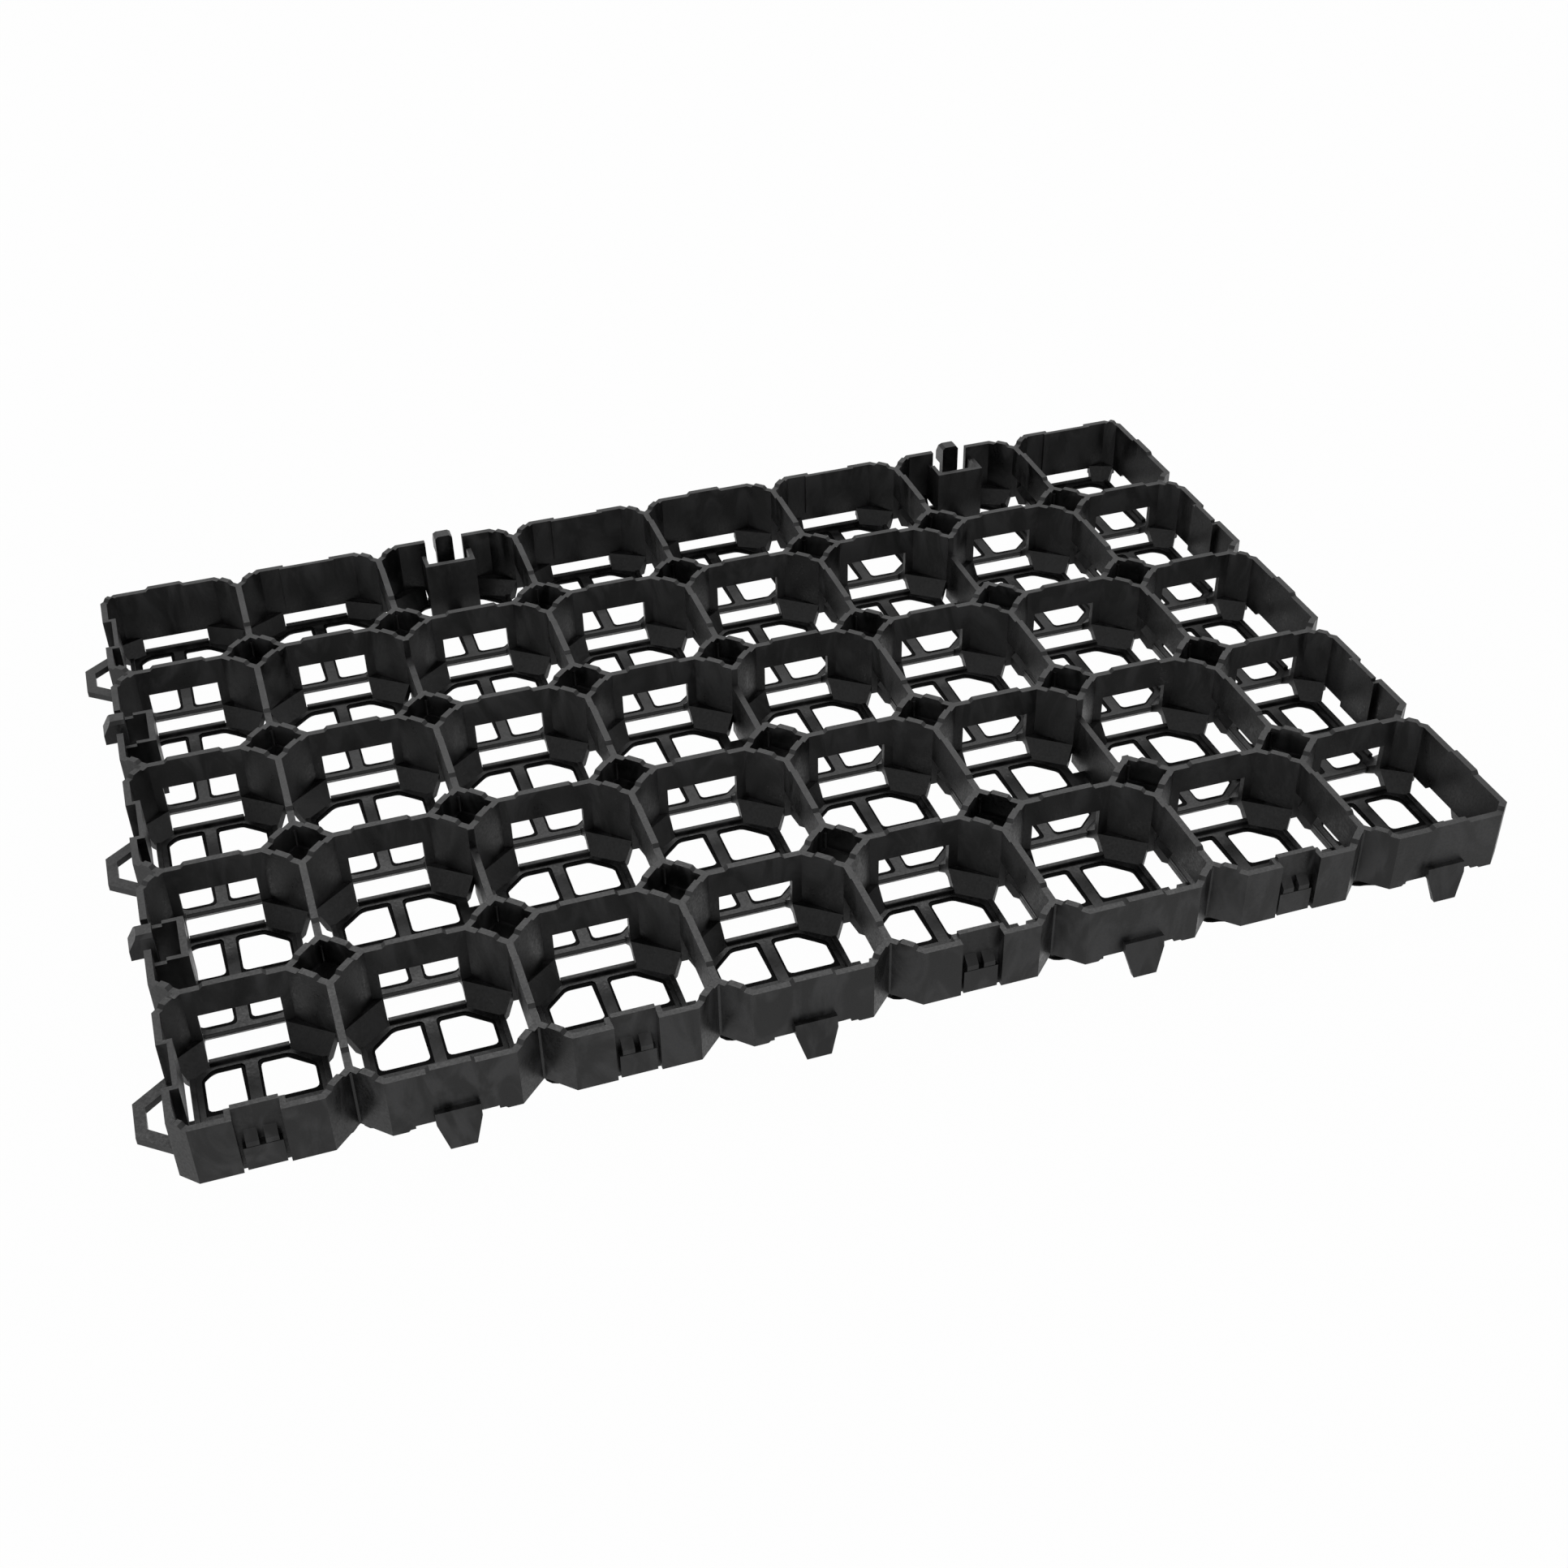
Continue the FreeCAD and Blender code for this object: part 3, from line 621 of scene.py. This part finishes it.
def post_tree():
    """Geometry nodes: an upright post of few sides at every point."""
    tree = bpy.data.node_groups.get("moulded_post")
    if tree:
        return tree
    tree = bpy.data.node_groups.new("moulded_post", "GeometryNodeTree")
    tree.interface.new_socket("Geometry", in_out="INPUT", socket_type="NodeSocketGeometry")
    tree.interface.new_socket("Sides", in_out="INPUT", socket_type="NodeSocketInt")
    for name in ("Radius", "Length", "Turn"):
        tree.interface.new_socket(name, in_out="INPUT", socket_type="NodeSocketFloat")
    tree.interface.new_socket("Finish", in_out="INPUT", socket_type="NodeSocketMaterial")
    tree.interface.new_socket("Geometry", in_out="OUTPUT", socket_type="NodeSocketGeometry")
    nodes, links = tree.nodes, tree.links
    given = nodes.new("NodeGroupInput")
    put = nodes.new("NodeGroupOutput")
    post = nodes.new("GeometryNodeMeshCylinder")
    links.new(given.outputs["Sides"], post.inputs["Vertices"])
    links.new(given.outputs["Radius"], post.inputs["Radius"])
    links.new(given.outputs["Length"], post.inputs["Depth"])
    turn = nodes.new("ShaderNodeCombineXYZ")
    links.new(given.outputs["Turn"], turn.inputs["Z"])
    turned = nodes.new("GeometryNodeTransform")
    links.new(post.outputs["Mesh"], turned.inputs["Geometry"])
    links.new(turn.outputs["Vector"], turned.inputs["Rotation"])
    set_out = nodes.new("GeometryNodeInstanceOnPoints")
    links.new(given.outputs["Geometry"], set_out.inputs["Points"])
    links.new(turned.outputs["Geometry"], set_out.inputs["Instance"])
    finish_tree(tree, set_out.outputs["Instances"], given, put)
    return tree


def grown(context, name, guide, tree, **values):
    """Run a tree on a guide mesh and keep the result as a plain closed mesh."""
    piece = bpy.data.objects.new(name, guide)
    context.scene.collection.objects.link(piece)
    modifier = piece.modifiers.new(name, "NODES")
    modifier.node_group = tree
    sockets = {s.name: s.identifier for s in tree.interface.items_tree
               if s.item_type == "SOCKET" and s.in_out == "INPUT"}
    for key, value in values.items():
        modifier[sockets[key.replace("_", " ").capitalize()]] = value
    graph = context.evaluated_depsgraph_get()
    mesh = bpy.data.meshes.new_from_object(piece.evaluated_get(graph), depsgraph=graph)
    piece.modifiers.clear()
    if not mesh.polygons:
        raise RuntimeError(name + " came out empty")
    tidy = bmesh.new()
    tidy.from_mesh(mesh)
    bmesh.ops.remove_doubles(tidy, verts=tidy.verts, dist=NEAR)
    bmesh.ops.dissolve_degenerate(tidy, edges=tidy.edges, dist=NEAR)
    bmesh.ops.recalc_face_normals(tidy, faces=tidy.faces)
    for face in tidy.faces:
        face.smooth = False
    tidy.to_mesh(mesh)
    tidy.free()
    mesh.name = name
    piece.data = mesh
    bpy.data.meshes.remove(guide)
    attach(piece, BODY)
    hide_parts(NODE)
    return piece


def guide_mesh(name, points, edges=()):
    """Points and paths for a tree to grow on."""
    mesh = bpy.data.meshes.new(name + "_guide")
    mesh.from_pydata([tuple(p) for p in points], list(edges), [])
    return mesh


def hole_corners(sizes):
    """The corners of the floor holes, seen from above, for each quarter of every cell."""
    shell = panel_shell(sizes)
    tuck_front(shell, sizes)
    quarters = {}
    for face in floor_sides(shell, sizes)[0]:
        for corner in face.verts:
            place = nearest_cell(corner.co, sizes)
            middle = corner.co.xy - place
            key = (round(middle.x, 5), round(middle.y, 5),
                   math.copysign(1, place.x), math.copysign(1, place.y))
            quarters.setdefault(key, []).append(place)
    shell.free()
    return quarters


def drawn_in(points, inset, front):
    """A convex outline, its sides moved inward, those towards the front by a distance of their own."""
    normals = [Vector((a.y - b.y, b.x - a.x)).normalized() for a, b in zip(points, points[1:] + points[:1])]
    moved = []
    for point, a, b in zip(points, normals[-1:] + normals, normals):
        deep_a, deep_b = (front if normal.y > 1 - SQUARE else inset for normal in (a, b))
        turn = a.cross(b)
        if abs(turn) < PARALLEL:
            moved.append(point + b * deep_b)
        else:
            moved.append(point + Vector((deep_a * b.y - deep_b * a.y, deep_b * a.x - deep_a * b.x)) / turn)
    return moved


class PAVER_OT_lips(bpy.types.Operator):
    """Thin lips at the foot of the floor holes, kept dark and matt so that they also stand in for the shadow
    there (painted shadow)
    """

    bl_idname = "paver.lips"
    bl_label = "Hole lips"

    def execute(self, context):
        sizes, relief = context.scene.paver_sizes, context.scene.paver_relief
        finish = context.scene.paver_finish
        points, edges = [], []
        half = (relief.lip_width + relief.lip_seat) / 2
        for (x, y, _, end), found in hole_corners(sizes).items():
            near = relief.bar_width / 2
            found = [Vector((p.x, end * near)) for p in found] + [p for p in found if abs(p.y) > near]
            outline = [found[i] for i in convex_hull_2d(found)]
            first = len(points)
            points += [Vector((x + p.x, y + p.y, relief.lip_base + relief.lip_height / 2))
                       for p in drawn_in(outline, relief.lip_width - half, relief.lip_near - half)]
            edges += [(i, i + 1) for i in range(first, len(points) - 1)] + [(len(points) - 1, first)]
        # Painted shadow: a dull, dark plastic, so that the lips read as the shadow at the foot of the holes.
        matt = plastic("shadow_lip_plastic", finish.shadow_lip_black, finish.black, None, finish.lip_roughness,
                       finish.lip_sheen)
        grown(context, "hole_shadow_lips", guide_mesh("hole_shadow_lips", points, edges), bead_tree(),
              width=2 * half, height=relief.lip_height, corner=sizes.hole_radius + half,
              rounding=relief.rounding / 2, finish=matt)
        return {"FINISHED"}


class PAVER_OT_ribs(bpy.types.Operator):
    """Low ribs along the floor edges beside the gaps"""

    bl_idname = "paver.ribs"
    bl_label = "Floor ribs"

    def execute(self, context):
        sizes, relief = context.scene.paver_sizes, context.scene.paver_relief
        shell = panel_shell(sizes)
        tuck_front(shell, sizes)
        points, edges = [], []
        for face in floor_sides(shell, sizes)[1]:
            along = Vector((0, 0, 1)).cross(face.normal)
            ends = sorted((v.co for v in face.verts if v.co.z > NEAR), key=lambda p: p.dot(along))
            a, b = ends[0], ends[-1]
            if (b - a).length < 8 * relief.rib_width:
                continue    # the short edges beside the webs carry no rib
            shift = face.normal * -relief.rib_inset
            drop = Vector((0, 0, relief.rib_height / 2 - relief.rounding))
            edges.append((len(points), len(points) + 1))
            points += [a + along * relief.rib_end + shift + drop, b - along * relief.rib_end + shift + drop]
        shell.free()
        grown(context, "floor_ribs", guide_mesh("floor_ribs", points, edges), bead_tree(),
              width=relief.rib_width, height=relief.rib_height + 2 * relief.rounding, corner=0.0,
              rounding=relief.rounding, finish=panel_material(context.scene.paver_finish))
        return {"FINISHED"}


class PAVER_OT_bars(bpy.types.Operator):
    """Bars across the floors, along the long side of the panel"""

    bl_idname = "paver.bars"
    bl_label = "Floor bars"

    def execute(self, context):
        sizes, relief = context.scene.paver_sizes, context.scene.paver_relief
        spans = {}
        for (x, y, *_), found in hole_corners(sizes).items():
            spans.setdefault((x, y), []).extend(x + p.x for p in found)
        points, edges = [], []
        for (x, y), found in spans.items():
            edges.append((len(points), len(points) + 1))
            points += [Vector((min(found) - relief.bar_seat, y, sizes.floor / 2)),
                       Vector((max(found) + relief.bar_seat, y, sizes.floor / 2))]
        grown(context, "floor_bars", guide_mesh("floor_bars", points, edges), bead_tree(),
              width=relief.bar_width, height=sizes.floor - 2 * relief.bar_sink, corner=0.0,
              rounding=relief.rounding, finish=panel_material(context.scene.paver_finish))
        return {"FINISHED"}


class PAVER_OT_strips(bpy.types.Operator):
    """Flat strips in the angles between the rim cells"""

    bl_idname = "paver.strips"
    bl_label = "Rim strips"

    def execute(self, context):
        sizes, relief = context.scene.paver_sizes, context.scene.paver_relief
        shell = panel_shell(sizes)
        points = []
        for edge in shell.edges:
            low, high = sorted(v.co.z for v in edge.verts)
            if len(edge.link_faces) != 2 or abs(low - sizes.foot) > NEAR or abs(high - sizes.low_top) > NEAR:
                continue
            slanting = all(abs(abs(face.normal.x) - abs(face.normal.y)) < SQUARE for face in edge.link_faces)
            if slanting and not edge.is_convex:
                points.append(Vector((*edge.verts[0].co.xy, (sizes.foot + sizes.low_top) / 2)))
        shell.free()
        grown(context, "rim_strips", guide_mesh("rim_strips", points), post_tree(), sides=4,
              radius=relief.strip_width / math.sqrt(2), turn=math.radians(45),
              length=sizes.low_top - sizes.foot - 2 * sizes.edge_radius,
              finish=panel_material(context.scene.paver_finish))
        return {"FINISHED"}


class PAVER_OT_nubs(bpy.types.Operator):
    """Nubs in the back corners of the diamond tubes"""

    bl_idname = "paver.nubs"
    bl_label = "Tube nubs"

    def execute(self, context):
        sizes, relief = context.scene.paver_sizes, context.scene.paver_relief
        points = []
        half = Vector((sizes.pitch[0] / 2, sizes.pitch[1] / 2))
        for middle in cell_middles(sizes):
            tube = middle + half
            inside = tube - Vector(sizes.middle)
            if abs(inside.x) < half.x * (sizes.columns - 0.5) and abs(inside.y) < half.y * (sizes.rows - 0.5):
                points.append(Vector((tube.x, tube.y + relief.nub_place,
                                      relief.nub_top - relief.nub_length / 2)))
        grown(context, "tube_nubs", guide_mesh("tube_nubs", points), post_tree(), sides=10,
              radius=relief.nub_radius, length=relief.nub_length, turn=0.0,
              finish=panel_material(context.scene.paver_finish))
        return {"FINISHED"}


def seen_share(nodes, links, kinds, share):
    """1 where a ray of the given kinds looks, times a share."""
    rays = nodes.new("ShaderNodeLightPath")
    seen = rays.outputs[kinds[0]]
    for kind in kinds[1:]:
        either = nodes.new("ShaderNodeMath")
        either.operation = "MAXIMUM"
        links.new(seen, either.inputs[0])
        links.new(rays.outputs[kind], either.inputs[1])
        seen = either.outputs[0]
    part = nodes.new("ShaderNodeMath")
    part.operation = "MULTIPLY"
    part.inputs[1].default_value = share
    links.new(seen, part.inputs[0])
    return part.outputs[0]


SEEN = ("Is Camera Ray", "Is Glossy Ray", "Is Transmission Ray")


def floor_material(stage):
    """White to the camera and in reflections, with a trace of the panel's shadow."""
    made, nodes, links = new_material("studio_floor")
    out = nodes.new("ShaderNodeOutputMaterial")
    matt = nodes.new("ShaderNodeBsdfDiffuse")
    matt.inputs["Color"].default_value = (stage.floor_grey, stage.floor_grey, stage.floor_grey, 1)
    glow = nodes.new("ShaderNodeEmission")
    glow.inputs["Color"].default_value = (1, 1, 1, 1)
    glow.inputs["Strength"].default_value = 1.0
    mix = nodes.new("ShaderNodeMixShader")
    links.new(seen_share(nodes, links, SEEN, stage.floor_white), mix.inputs["Fac"])
    links.new(matt.outputs[0], mix.inputs[1])
    links.new(glow.outputs[0], mix.inputs[2])
    links.new(mix.outputs[0], out.inputs["Surface"])
    return made


def room(stage):
    """Even room light, white where the camera and reflections see it."""
    world = bpy.data.worlds.new("studio_room")
    world.use_nodes = True
    nodes, links = world.node_tree.nodes, world.node_tree.links
    nodes.clear()
    out = nodes.new("ShaderNodeOutputWorld")
    even = nodes.new("ShaderNodeBackground")
    even.inputs["Color"].default_value = (1, 1, 1, 1)
    even.inputs["Strength"].default_value = stage.sky
    white = nodes.new("ShaderNodeBackground")
    white.inputs["Color"].default_value = (1, 1, 1, 1)
    white.inputs["Strength"].default_value = 1.0
    mix = nodes.new("ShaderNodeMixShader")
    links.new(seen_share(nodes, links, SEEN, 1.0), mix.inputs["Fac"])
    links.new(even.outputs[0], mix.inputs[1])
    links.new(white.outputs[0], mix.inputs[2])
    links.new(mix.outputs[0], out.inputs["Surface"])
    return world


def soft_box(scene, name, power, size, place, target):
    """An area lamp of the given size that faces a point."""
    lamp = bpy.data.lights.new(name, "AREA")
    lamp.energy = power
    lamp.shape = "RECTANGLE"
    lamp.size, lamp.size_y = size
    box = bpy.data.objects.new(name, lamp)
    box.location = place
    box.rotation_euler = (Vector(target) - Vector(place)).to_track_quat("-Z", "Y").to_euler()
    scene.collection.objects.link(box)


class PAVER_OT_stage(bpy.types.Operator):
    """White floor, soft light and the camera"""

    bl_idname = "paver.stage"
    bl_label = "Studio stage"

    def execute(self, context):
        scene, stage = context.scene, context.scene.paver_stage
        half = stage.floor_size / 2
        mesh = bpy.data.meshes.new("studio_floor")
        low = CAD_BOX[0].z - stage.floor_drop
        mesh.from_pydata([(-half, -half, low), (half, -half, low), (half, half, low), (-half, half, low)],
                         [], [(0, 1, 2, 3)])
        mesh.materials.append(floor_material(stage))
        floor = bpy.data.objects.new("studio_floor", mesh)
        scene.collection.objects.link(floor)

        scene.world = room(stage)
        soft_box(scene, "back_soft_box", stage.back, stage.back_size, stage.back_place, (0.0, 0.0, 0.0))
        soft_box(scene, "front_soft_box", stage.front, stage.front_size, stage.front_place, stage.front_aim)

        lens = bpy.data.cameras.new("camera")
        lens.lens = stage.lens
        lens.sensor_width = 36.0
        camera = bpy.data.objects.new("camera", lens)
        camera.location = stage.camera_place
        camera.rotation_euler = stage.camera_turn
        scene.collection.objects.link(camera)
        scene.camera = camera
        scene.view_settings.view_transform = "Standard"
        return {"FINISHED"}


class PAVER_PT_sidebar(bpy.types.Panel):
    """Lists the pieces of the paver panel"""

    bl_idname = "PAVER_PT_sidebar"
    bl_label = "Grass paver grid"
    bl_space_type = "VIEW_3D"
    bl_region_type = "UI"
    bl_category = "Paver"

    def draw(self, context):
        for name, group in GROUPS.items():
            column = self.layout.column(align=True)
            for size in group.__annotations__:
                column.prop(getattr(context.scene, name), size)
        for operator in OPERATORS:
            self.layout.operator(operator.bl_idname)


GROUPS = {"paver_sizes": PaverPanelSizes, "paver_relief": PaverReliefSizes, "paver_finish": PaverFinish,
          "paver_stage": PaverStage}
OPERATORS = (PAVER_OT_panel, PAVER_OT_lips, PAVER_OT_ribs, PAVER_OT_bars, PAVER_OT_strips, PAVER_OT_nubs,
             PAVER_OT_stage)


def register():
    for name, group in GROUPS.items():
        bpy.utils.register_class(group)
        setattr(bpy.types.Scene, name, bpy.props.PointerProperty(type=group))
    for made in (*OPERATORS, PAVER_PT_sidebar):
        bpy.utils.register_class(made)


def unregister():
    for made in (PAVER_PT_sidebar, *reversed(OPERATORS)):
        bpy.utils.unregister_class(made)
    for name, group in GROUPS.items():
        delattr(bpy.types.Scene, name)
        bpy.utils.unregister_class(group)


def main():
    register()
    bpy.ops.paver.panel()
    bpy.ops.paver.lips()
    bpy.ops.paver.ribs()
    bpy.ops.paver.bars()
    bpy.ops.paver.strips()
    bpy.ops.paver.nubs()
    bpy.ops.paver.stage()


if __name__ == "__main__":
    main()
